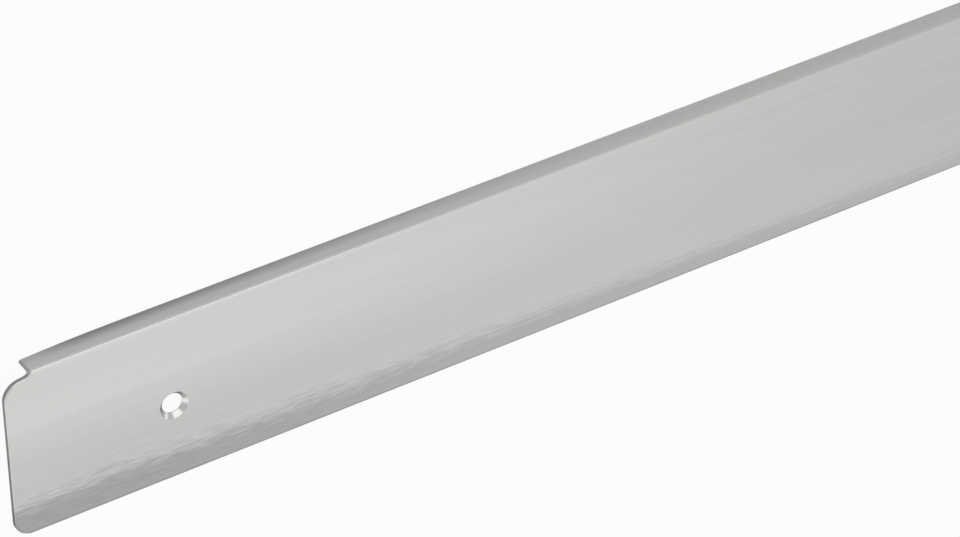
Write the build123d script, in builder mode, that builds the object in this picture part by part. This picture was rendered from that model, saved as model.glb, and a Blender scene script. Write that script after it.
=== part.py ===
from build123d import *
import math
import os

# End trim for a kitchen worktop, cut from one length of extruded aluminium.
# A flat face covers the worktop's sawn end and a narrow lip laps over its top.
# All sizes are in millimetres.

# Sizes of the extruded section
face_height = 38.0
face_thickness = 1.0
lip_reach = 5.2
lip_thickness = 0.7
lip_edge_thickness = 0.4
lip_flat_width = 1.2
inner_corner_radius = 0.4

# Length of the cut strip
strip_length = 630.0

# Front end, where the lip is milled away and both corners are rounded
notch_length = 6.0
notch_depth = 1.15
notch_slope = 8.0
notch_root_radius = 1.5
lip_end_angle = 60.0
lip_corner_radius = 0.6
top_corner_radius = 4.0
bottom_corner_radius = 3.7
lip_sweep_length = 20.0
lip_sweep_depth = 0.7

# The edges of the outside face are rounded all round, apart from the sawn rear end
outer_edge_radius = 0.4

# Countersunk screw holes along the face
hole_count = 3
hole_end_distance = 35.0
hole_height = 17.3
hole_radius = 2.2
countersink_radius = 3.1
countersink_angle = 90.0

# Room beyond the section for the outline that trims it
trim_margin = 5.0

# The strip lies face up, resting on the lip's edge and the bottom edge of the face
lip_underside = face_height - lip_thickness
lip_edge_top = lip_underside + lip_edge_thickness
rest_angle = math.atan2(lip_reach - face_thickness, lip_underside)
up_the_face = Vector(0, math.cos(rest_angle), math.sin(rest_angle))
out_of_face = Vector(0, -math.sin(rest_angle), math.cos(rest_angle))

# The lip's top is flat beside the face and then falls on an arc to its thin edge
crown_run = lip_reach - lip_flat_width
crown_drop = face_height - lip_edge_top
crown_radius = (crown_run**2 + crown_drop**2) / (2 * crown_drop)
crown_centre = up_the_face * (face_height - crown_radius) - out_of_face * lip_flat_width
width_lying = crown_centre.Y + crown_radius

# The bottom corner of the front end on the outside face, placed so that the strip
# is centred on the origin and its two resting edges are at height zero
front_corner = Vector(-strip_length / 2, -width_lying / 2, face_thickness * out_of_face.Z)
section_plane = Plane(front_corner, x_dir=up_the_face, z_dir=(1, 0, 0))
face_plane = Plane(front_corner, x_dir=(1, 0, 0), z_dir=out_of_face)
top_plane = Plane(front_corner + up_the_face * face_height, x_dir=(1, 0, 0), z_dir=-up_the_face)

hole_pitch = (strip_length - 2 * hole_end_distance) / (hole_count - 1)


with BuildPart() as end_strip:
    # Section across the strip: x runs up the face and y out of it
    with BuildSketch(section_plane):
        with BuildLine():
            Polyline(
                (face_height, -lip_flat_width),
                (face_height, 0),
                (0, 0),
                (0, -face_thickness),
                (lip_underside, -face_thickness),
                (lip_underside, -lip_reach),
                (lip_edge_top, -lip_reach),
            )
            TangentArc(
                (face_height, -lip_flat_width),
                (lip_edge_top, -lip_reach),
                tangent=(0, -1),
            )
        make_face()
        inner_corner = vertices().sort_by_distance((lip_underside, -face_thickness))[0]
        fillet(inner_corner, radius=inner_corner_radius)
    extrude(amount=strip_length)

    # Outline seen from outside: x runs along the strip and y up the face
    with BuildSketch(face_plane):
        notch_floor = face_height - notch_depth
        notch_foot = notch_length - notch_depth / math.tan(math.radians(lip_end_angle))
        end_top = notch_floor - notch_foot * math.tan(math.radians(notch_slope))
        past_end = strip_length + trim_margin
        with BuildLine():
            FilletPolyline(
                (past_end, 0),
                (past_end, face_height),
                (notch_length, face_height),
                (notch_foot, notch_floor),
                (0, end_top),
                (0, 0),
                radius=(
                    0,
                    0,
                    lip_corner_radius,
                    notch_root_radius,
                    top_corner_radius,
                    bottom_corner_radius,
                ),
                close=True,
            )
        make_face()
    extrude(amount=lip_reach + trim_margin, both=True, mode=Mode.INTERSECT)

    # Near the front end the lip's back edge sweeps in on a wide arc
    with BuildSketch(top_plane):
        with BuildLine():
            sweep = TangentArc(
                (notch_length + lip_sweep_length, -lip_reach),
                (notch_length, lip_sweep_depth - lip_reach),
                tangent=(-1, 0),
            )
            Polyline(
                sweep @ 1,
                (notch_length - trim_margin, lip_sweep_depth - lip_reach),
                (notch_length - trim_margin, -lip_reach - trim_margin),
                (notch_length + lip_sweep_length, -lip_reach - trim_margin),
                sweep @ 0,
            )
        make_face()
    extrude(amount=face_height, both=True, mode=Mode.SUBTRACT)

    # Every edge of the outside face is broken, from the bottom of the rear end round
    # the front end to the top of the rear end
    outside_face = faces().filter_by(Axis((0, 0, 0), out_of_face)).sort_by(Axis.Z)[-1]
    rear_edge = outside_face.edges().sort_by(Axis.X)[-1]
    fillet(outside_face.edges() - ShapeList([rear_edge]), radius=outer_edge_radius)

    # Screw holes, sunk from the outside so that the heads sit flush
    first_hole = face_plane.origin + face_plane.x_dir * hole_end_distance + up_the_face * hole_height
    hole_plane = Plane(first_hole, x_dir=(1, 0, 0), z_dir=out_of_face)
    with Locations(hole_plane):
        with Locations(*[(number * hole_pitch, 0) for number in range(hole_count)]):
            CounterSinkHole(
                radius=hole_radius,
                counter_sink_radius=countersink_radius,
                counter_sink_angle=countersink_angle,
                depth=face_thickness + trim_margin,
            )

end_strip.part.label = "end_strip"

os.makedirs("parts", exist_ok=True)
export_step(end_strip.part, "parts/end_strip.step")

size = end_strip.part.bounding_box()
print("size", size.size, "low corner", size.min)
print("volume in cubic centimetres", end_strip.part.volume / 1000)
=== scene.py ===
import math
from types import SimpleNamespace

import bpy
from mathutils import Matrix, Vector


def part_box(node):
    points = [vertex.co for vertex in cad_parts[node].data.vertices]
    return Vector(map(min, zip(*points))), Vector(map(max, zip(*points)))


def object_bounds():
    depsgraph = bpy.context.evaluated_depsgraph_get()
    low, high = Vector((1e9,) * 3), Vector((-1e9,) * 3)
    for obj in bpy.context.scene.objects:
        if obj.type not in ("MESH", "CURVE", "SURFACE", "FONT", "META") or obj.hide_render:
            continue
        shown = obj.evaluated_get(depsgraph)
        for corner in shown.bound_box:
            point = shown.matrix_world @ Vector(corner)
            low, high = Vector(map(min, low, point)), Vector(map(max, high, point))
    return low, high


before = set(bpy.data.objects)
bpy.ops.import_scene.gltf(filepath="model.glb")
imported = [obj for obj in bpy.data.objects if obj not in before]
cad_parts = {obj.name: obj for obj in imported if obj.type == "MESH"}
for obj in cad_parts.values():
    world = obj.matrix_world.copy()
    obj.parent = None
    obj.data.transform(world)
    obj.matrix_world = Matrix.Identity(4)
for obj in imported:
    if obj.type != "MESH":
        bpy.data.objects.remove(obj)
cad_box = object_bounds()
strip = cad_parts["end_strip"]

# The view: angles in degrees, lengths in metres
LENS_PIXELS = 4509.0
IMAGE_WIDTH = 960.0
SENSOR_WIDTH = 36.0
VIEW_AZIMUTH = 141.175
VIEW_ELEVATION = 47.668
VIEW_ROLL = 128.081
VIEW_DISTANCE = 0.8822
AIM_FROM_FRONT_END = 0.10368
AIM_ACROSS = 0.00251
AIM_HEIGHT = 0.00342
NEAREST = 0.01
FARTHEST = 20

# The paper that the strip lies on: how much of it is plain white where it is seen and
# where metal mirrors it. The rest takes the strip's shadow.
FLOOR_SIZE = 4
PAPER_COLOUR = 0.64
PAPER_ROUGHNESS = 0.9
WHITE_SEEN = 0.95
WHITE_MIRRORED = 0.1

# Anodised aluminium, rougher across the grain than along it
METAL_COLOUR = (0.80, 0.795, 0.78, 1)
METAL_ROUGHNESS = 0.42
METAL_ANISOTROPY = 0.5
GRAIN_STRENGTH = 0.15
GRAIN_DEPTH = 0.00002

# Streaks along the strip: the length and width of one in metres, and their detail
GRAIN = (0.03, 0.0002, 2)
LINES = (0.12, 0.0008, 3)
DRIFT = (0.18, 0.009, 1)
SCRATCHES = (0.004, 0.0003, 3)

# While noise goes from low to high, a tone or the roughness goes from its change below
# the middle to its change above it
NOISE_LOW = 0.3
NOISE_HIGH = 0.7
GRAIN_LOW = 0.25
GRAIN_HIGH = 0.75
GRAIN_CHANGE = 0.02
LINES_CHANGE = 0.015
DRIFT_CHANGE = 0.015
ROUGHNESS_CHANGE = 0.04

# Places on the strip are in metres from its front end, up its face or above the floor.
# Darker and brighter are shares of the metal's colour.
# A painted band of shade along the bottom edge, standing in for mirrored shade on the floor,
# and a painted slope of shade above it.
BAND_FULL = 0.0042
BAND_TOP = 0.0094
BAND_WAVE = 0.0014
BAND_NARROWING = 0.018
BAND_LENGTH = 0.38
BAND_DARKER = 0.27
SLOPE_TOP = 0.032
SLOPE_LENGTH = 0.23
SLOPE_DARKER = 0.14

# Short scratches in and above the band
SCRATCH_WAVE = 0.0022
SCRATCH_FULL = 0.007
SCRATCH_TOP = 0.014
SCRATCH_LENGTH = 0.15
SCRATCH_CHANGE = 0.08

# Painted shade: the lip darkens toward its back edge, and less so at its very front
LIP_FROM = 0.0365
LIP_TO = 0.0372
LIP_LOW = 0.0002
LIP_HIGH = 0.0036
LIP_LENGTH = 0.16
LIP_DARKER = 0.47
LIP_CLEAR_FROM = 0.004
LIP_CLEAR_TO = 0.02
LIP_CLEAR_SHARE = 0.2

# A painted highlight makes the crease between the face and the lip a little brighter
CREASE_FROM = 0.0366
CREASE_TO = 0.0373
CREASE_LOW = 0.0040
CREASE_HIGH = 0.0048
CREASE_BRIGHTER = 0.08
CREASE_FADE_FROM = 0.03
CREASE_FADE_TO = 0.16
CREASE_FAR_SHARE = 0.4

# Painted shade: the cut and rounded edges are darker. A surface's facing is the matching
# coordinate of its normal, for up and for the front end.
EDGE_LENGTH = 0.0054
EDGE_DARKER = 0.46
EDGE_FACING_FULL = 0.2
EDGE_FACING_NONE = 0.75
FRONT_FACING_FULL = -0.85
FRONT_FACING_NONE = -0.4
LIP_END_SHARE = 0.5
BOTTOM_LINE = 0.0007
BOTTOM_DARKER = 0.4

# The drill leaves the countersinks smoother than the face
HOLE_COUNT = 3
HOLE_FROM_END = 0.035
HOLE_UP_FACE = 0.0172
SMOOTH_REACH = 0.00315
SMOOTH_ROUGHNESS = 0.3

# Light of the sky at the horizon and higher up, and the share of the way up to the
# top where it is full
HORIZON_LIGHT = 0.42
WORLD_LIGHT = 0.62
HORIZON_BLEND = 0.45

# Soft lamps, in metres. A direction leads from the point aimed at to the lamp.
LAMPS = {
    "key": {
        "aim": (-0.27, 0, 0),
        "direction": (0.15, -0.75, 0.66),
        "distance": 0.9,
        "width": 0.8,
        "height": 0.7,
        "radiance": 0.3,
    },
    "fill": {
        "aim": (-0.29, 0, 0),
        "direction": (0.0, 0.58, 0.74),
        "distance": 0.7,
        "width": 0.7,
        "height": 0.45,
        "radiance": 0.85,
    },
    "side": {
        "aim": (-0.29, 0, 0),
        "direction": (-0.66, -0.6, 0.38),
        "distance": 0.7,
        "width": 0.45,
        "height": 0.3,
        "radiance": 0.8,
    },
    "end": {
        "aim": (-0.27, 0, 0),
        "direction": (0.93, 0.1, 0.33),
        "distance": 0.9,
        "width": 0.3,
        "height": 0.4,
        "radiance": 0.8,
    },
}


def add_camera():
    azimuth = math.radians(VIEW_AZIMUTH)
    elevation = math.radians(VIEW_ELEVATION)
    look = Vector((
        math.sin(azimuth) * math.cos(elevation),
        math.cos(azimuth) * math.cos(elevation),
        -math.sin(elevation),
    ))
    front_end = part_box("end_strip")[0].x
    aim = Vector((front_end + AIM_FROM_FRONT_END, AIM_ACROSS, AIM_HEIGHT))
    level_right = look.cross(Vector((0, 0, 1))).normalized()
    right = Matrix.Rotation(math.radians(VIEW_ROLL), 3, -look) @ level_right
    up = right.cross(look)
    camera = bpy.data.objects.new("camera", bpy.data.cameras.new("camera"))
    camera.data.sensor_width = SENSOR_WIDTH
    camera.data.lens = LENS_PIXELS / IMAGE_WIDTH * SENSOR_WIDTH
    camera.data.clip_start = NEAREST
    camera.data.clip_end = FARTHEST
    turn = Matrix((right, up, -look)).transposed().to_4x4()
    camera.matrix_world = Matrix.Translation(aim - look * VIEW_DISTANCE) @ turn
    bpy.context.scene.collection.objects.link(camera)
    bpy.context.scene.camera = camera


def link_math(tree, operation, *values):
    """Join sockets or plain numbers by Math nodes, from the first to the last."""
    result = values[0]
    for value in values[1:]:
        node = tree.nodes.new("ShaderNodeMath")
        node.operation = operation
        for socket, part in zip(node.inputs, (result, value)):
            if isinstance(part, (int, float)):
                socket.default_value = part
            else:
                tree.links.new(part, socket)
        result = node.outputs[0]
    return result


def product(tree, *values):
    return link_math(tree, "MULTIPLY", *values)


def split_vector(tree, vector):
    node = tree.nodes.new("ShaderNodeSeparateXYZ")
    tree.links.new(vector, node.inputs["Vector"])
    return node.outputs


def map_range(tree, value, from_low, from_high, to_low, to_high):
    """Lead smoothly from one number to another while value crosses a range."""
    node = tree.nodes.new("ShaderNodeMapRange")
    node.interpolation_type = "SMOOTHSTEP"
    tree.links.new(value, node.inputs["Value"])
    node.inputs["From Min"].default_value = from_low
    node.inputs["From Max"].default_value = from_high
    node.inputs["To Min"].default_value = to_low
    node.inputs["To Max"].default_value = to_high
    return node.outputs["Result"]


def varied(tree, noise, middle, change, low=NOISE_LOW, high=NOISE_HIGH):
    """A number that noise moves up and down from its middle."""
    return map_range(tree, noise, low, high, middle - change, middle + change)


def streaks(tree, length, width, detail):
    """Noise drawn out along the strip, with the size of one streak in metres."""
    place = tree.nodes.new("ShaderNodeTexCoord")
    scale = tree.nodes.new("ShaderNodeMapping")
    scale.inputs["Scale"].default_value = (1 / length, 1 / width, 1 / width)
    noise = tree.nodes.new("ShaderNodeTexNoise")
    noise.inputs["Scale"].default_value = 1
    noise.inputs["Detail"].default_value = detail
    tree.links.new(place.outputs["Object"], scale.inputs["Vector"])
    tree.links.new(scale.outputs["Vector"], noise.inputs["Vector"])
    return noise.outputs["Fac"]


def paper_material():
    material = bpy.data.materials.new("white_paper")
    material.use_nodes = True
    tree = material.node_tree
    shader = tree.nodes["Principled BSDF"]
    shader.inputs["Base Color"].default_value = (PAPER_COLOUR, PAPER_COLOUR, PAPER_COLOUR, 1)
    shader.inputs["Roughness"].default_value = PAPER_ROUGHNESS
    white = tree.nodes.new("ShaderNodeEmission")
    white.inputs["Color"].default_value = (1, 1, 1, 1)
    white.inputs["Strength"].default_value = 1
    rays = tree.nodes.new("ShaderNodeLightPath").outputs
    seen = link_math(tree, "MAXIMUM", rays["Is Camera Ray"], rays["Is Transmission Ray"])
    seen_share = product(tree, seen, WHITE_SEEN)
    mirrored_share = product(tree, rays["Is Glossy Ray"], WHITE_MIRRORED)
    share = link_math(tree, "MAXIMUM", seen_share, mirrored_share)
    mix = tree.nodes.new("ShaderNodeMixShader")
    tree.links.new(share, mix.inputs[0])
    tree.links.new(shader.outputs["BSDF"], mix.inputs[1])
    tree.links.new(white.outputs["Emission"], mix.inputs[2])
    tree.links.new(mix.outputs["Shader"], tree.nodes["Material Output"].inputs["Surface"])
    return material


def add_floor():
    bpy.ops.mesh.primitive_plane_add(size=FLOOR_SIZE, location=(0, 0, cad_box[0][2]))
    floor = bpy.context.object
    floor.name = "floor"
    floor.data.materials.append(paper_material())


def places_on_strip(tree):
    """Where a point of the strip is, and the way its surface faces there."""
    front_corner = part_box("end_strip")[0]
    coordinates = tree.nodes.new("ShaderNodeTexCoord").outputs
    point = split_vector(tree, coordinates["Object"])
    normal = split_vector(tree, coordinates["Normal"])
    return SimpleNamespace(
        along=link_math(tree, "SUBTRACT", point["X"], front_corner.x),
        up_face=link_math(tree, "SUBTRACT", point["Y"], front_corner.y),
        above_floor=point["Z"],
        facing_along=normal["X"],
        facing_up=normal["Z"],
    )


def painted_band_and_slope_shade(tree, place, lines, scratches):
    """Painted shade: a band along the bottom edge narrows and fades away from the front end,
    with a painted slope of shade above it.
    """
    wave = varied(tree, lines, 0, BAND_WAVE / 2)
    ragged = varied(tree, scratches, 0, SCRATCH_WAVE / 2)
    narrowing = product(tree, place.along, BAND_NARROWING)
    height = link_math(tree, "ADD", place.up_face, wave, ragged, narrowing)
    band = map_range(tree, height, BAND_FULL, BAND_TOP, BAND_DARKER, 0)
    band = product(tree, band, map_range(tree, place.along, 0, BAND_LENGTH, 1, 0))
    slope = map_range(tree, place.up_face, BAND_TOP, SLOPE_TOP, SLOPE_DARKER, 0)
    slope = product(tree, slope, map_range(tree, place.along, 0, SLOPE_LENGTH, 1, 0))
    return link_math(tree, "ADD", band, slope)


# Painted shade on the lip, darker toward its back edge
def painted_lip_shade(tree, place):
    return product(
        tree,
        map_range(tree, place.up_face, LIP_FROM, LIP_TO, 0, 1),
        map_range(tree, place.above_floor, LIP_LOW, LIP_HIGH, LIP_DARKER, 0),
        map_range(tree, place.along, 0, LIP_LENGTH, 1, 0),
        map_range(tree, place.along, LIP_CLEAR_FROM, LIP_CLEAR_TO, LIP_CLEAR_SHARE, 1),
    )


# Painted highlight along the crease, fading toward the rear
def painted_crease_highlight(tree, place):
    return product(
        tree,
        map_range(tree, place.up_face, CREASE_FROM, CREASE_TO, 0, CREASE_BRIGHTER),
        map_range(tree, place.above_floor, CREASE_LOW, CREASE_HIGH, 0, 1),
        map_range(tree, place.along, CREASE_FADE_FROM, CREASE_FADE_TO, 1, CREASE_FAR_SHARE),
    )


def painted_edge_shade(tree, place):
    """Painted shade round the front end, on the lip's own end and along the bottom edge."""
    steep = map_range(
        tree, place.facing_up, EDGE_FACING_FULL, EDGE_FACING_NONE, EDGE_DARKER, 0
    )
    before_lip = link_math(tree, "LESS_THAN", place.along, EDGE_LENGTH)
    lip_end = map_range(
        tree, place.facing_along, FRONT_FACING_FULL, FRONT_FACING_NONE, LIP_END_SHARE, 0
    )
    edge = product(tree, steep, link_math(tree, "MAXIMUM", before_lip, lip_end))
    bottom = map_range(tree, place.up_face, 0, BOTTOM_LINE, BOTTOM_DARKER, 0)
    return link_math(tree, "MAXIMUM", edge, bottom)


def scratch_tone(tree, place, scratches):
    """Lighter and darker scratches near the bottom of the front end."""
    change = product(
        tree,
        varied(tree, scratches, 0, SCRATCH_CHANGE),
        map_range(tree, place.up_face, SCRATCH_FULL, SCRATCH_TOP, 1, 0),
        map_range(tree, place.along, 0, SCRATCH_LENGTH, 1, 0),
    )
    return link_math(tree, "ADD", 1, change)


def in_countersink(tree, place):
    """One in the countersinks and zero elsewhere."""
    front_corner, rear_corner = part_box("end_strip")
    pitch = (rear_corner.x - front_corner.x - 2 * HOLE_FROM_END) / (HOLE_COUNT - 1)
    from_hole = link_math(tree, "ADD", place.along, pitch / 2 - HOLE_FROM_END)
    from_hole = link_math(tree, "MODULO", from_hole, pitch)
    from_hole = link_math(tree, "SUBTRACT", from_hole, pitch / 2)
    above_hole = link_math(tree, "SUBTRACT", place.up_face, HOLE_UP_FACE)
    distance_squared = link_math(
        tree,
        "ADD",
        link_math(tree, "POWER", from_hole, 2),
        link_math(tree, "POWER", above_hole, 2),
    )
    return link_math(tree, "LESS_THAN", distance_squared, SMOOTH_REACH**2)


def brushed_aluminium():
    material = bpy.data.materials.new("brushed_aluminium")
    material.use_nodes = True
    tree = material.node_tree
    shader = tree.nodes["Principled BSDF"]
    shader.inputs["Metallic"].default_value = 1
    shader.inputs["Anisotropic"].default_value = METAL_ANISOTROPY

    across = tree.nodes.new("ShaderNodeTangent")
    across.direction_type = "RADIAL"
    across.axis = "X"
    tree.links.new(across.outputs["Tangent"], shader.inputs["Tangent"])

    place = places_on_strip(tree)
    grain = streaks(tree, *GRAIN)
    lines = streaks(tree, *LINES)
    drift = streaks(tree, *DRIFT)
    scratches = streaks(tree, *SCRATCHES)

    # The tone: random lines, grain, drift and scratches, then painted shade on the bottom
    # band, the lip and the edges, and a painted crease highlight
    tone = product(
        tree,
        varied(tree, lines, 1, LINES_CHANGE),
        varied(tree, grain, 1, GRAIN_CHANGE, GRAIN_LOW, GRAIN_HIGH),
        varied(tree, drift, 1, DRIFT_CHANGE),
        scratch_tone(tree, place, scratches),
        link_math(tree, "SUBTRACT", 1, painted_band_and_slope_shade(tree, place, lines, scratches)),
        link_math(tree, "SUBTRACT", 1, painted_lip_shade(tree, place)),
        link_math(tree, "ADD", 1, painted_crease_highlight(tree, place)),
        link_math(tree, "SUBTRACT", 1, painted_edge_shade(tree, place)),
    )
    colour = tree.nodes.new("ShaderNodeMix")
    colour.data_type = "RGBA"
    colour.blend_type = "MULTIPLY"
    colour.inputs["Factor"].default_value = 1
    colour.inputs["A"].default_value = METAL_COLOUR
    tree.links.new(tone, colour.inputs["B"])
    tree.links.new(colour.outputs["Result"], shader.inputs["Base Color"])

    roughness = varied(tree, lines, METAL_ROUGHNESS, ROUGHNESS_CHANGE)
    smoother = product(tree, in_countersink(tree, place), METAL_ROUGHNESS - SMOOTH_ROUGHNESS)
    roughness = link_math(tree, "SUBTRACT", roughness, smoother)
    tree.links.new(roughness, shader.inputs["Roughness"])

    bump = tree.nodes.new("ShaderNodeBump")
    bump.inputs["Strength"].default_value = GRAIN_STRENGTH
    bump.inputs["Distance"].default_value = GRAIN_DEPTH
    tree.links.new(grain, bump.inputs["Height"])
    tree.links.new(bump.outputs["Normal"], shader.inputs["Normal"])
    return material


def add_softbox(name, aim, direction, distance, width, height, radiance):
    """A rectangular lamp that shines on the point aim from direction."""
    lamp = bpy.data.objects.new(name, bpy.data.lights.new(name, "AREA"))
    lamp.data.shape = "RECTANGLE"
    lamp.data.size = width
    lamp.data.size_y = height
    lamp.data.energy = radiance * math.pi * width * height
    towards = Vector(direction).normalized()
    lamp.location = Vector(aim) + towards * distance
    lamp.rotation_mode = "QUATERNION"
    lamp.rotation_quaternion = towards.to_track_quat("Z", "Y")
    bpy.context.scene.collection.objects.link(lamp)


def light_the_scene():
    world = bpy.data.worlds.new("studio")
    world.use_nodes = True
    tree = world.node_tree
    background = tree.nodes["Background"]
    background.inputs["Color"].default_value = (1, 1, 1, 1)
    sky = split_vector(tree, tree.nodes.new("ShaderNodeTexCoord").outputs["Generated"])
    light = map_range(tree, sky["Z"], 0, HORIZON_BLEND, HORIZON_LIGHT, WORLD_LIGHT)
    tree.links.new(light, background.inputs["Strength"])
    bpy.context.scene.world = world
    for name, lamp in LAMPS.items():
        add_softbox(name, **lamp)


add_camera()
add_floor()
light_the_scene()
strip.data.materials.clear()
strip.data.materials.append(brushed_aluminium())
bpy.context.scene.view_settings.view_transform = "Standard"
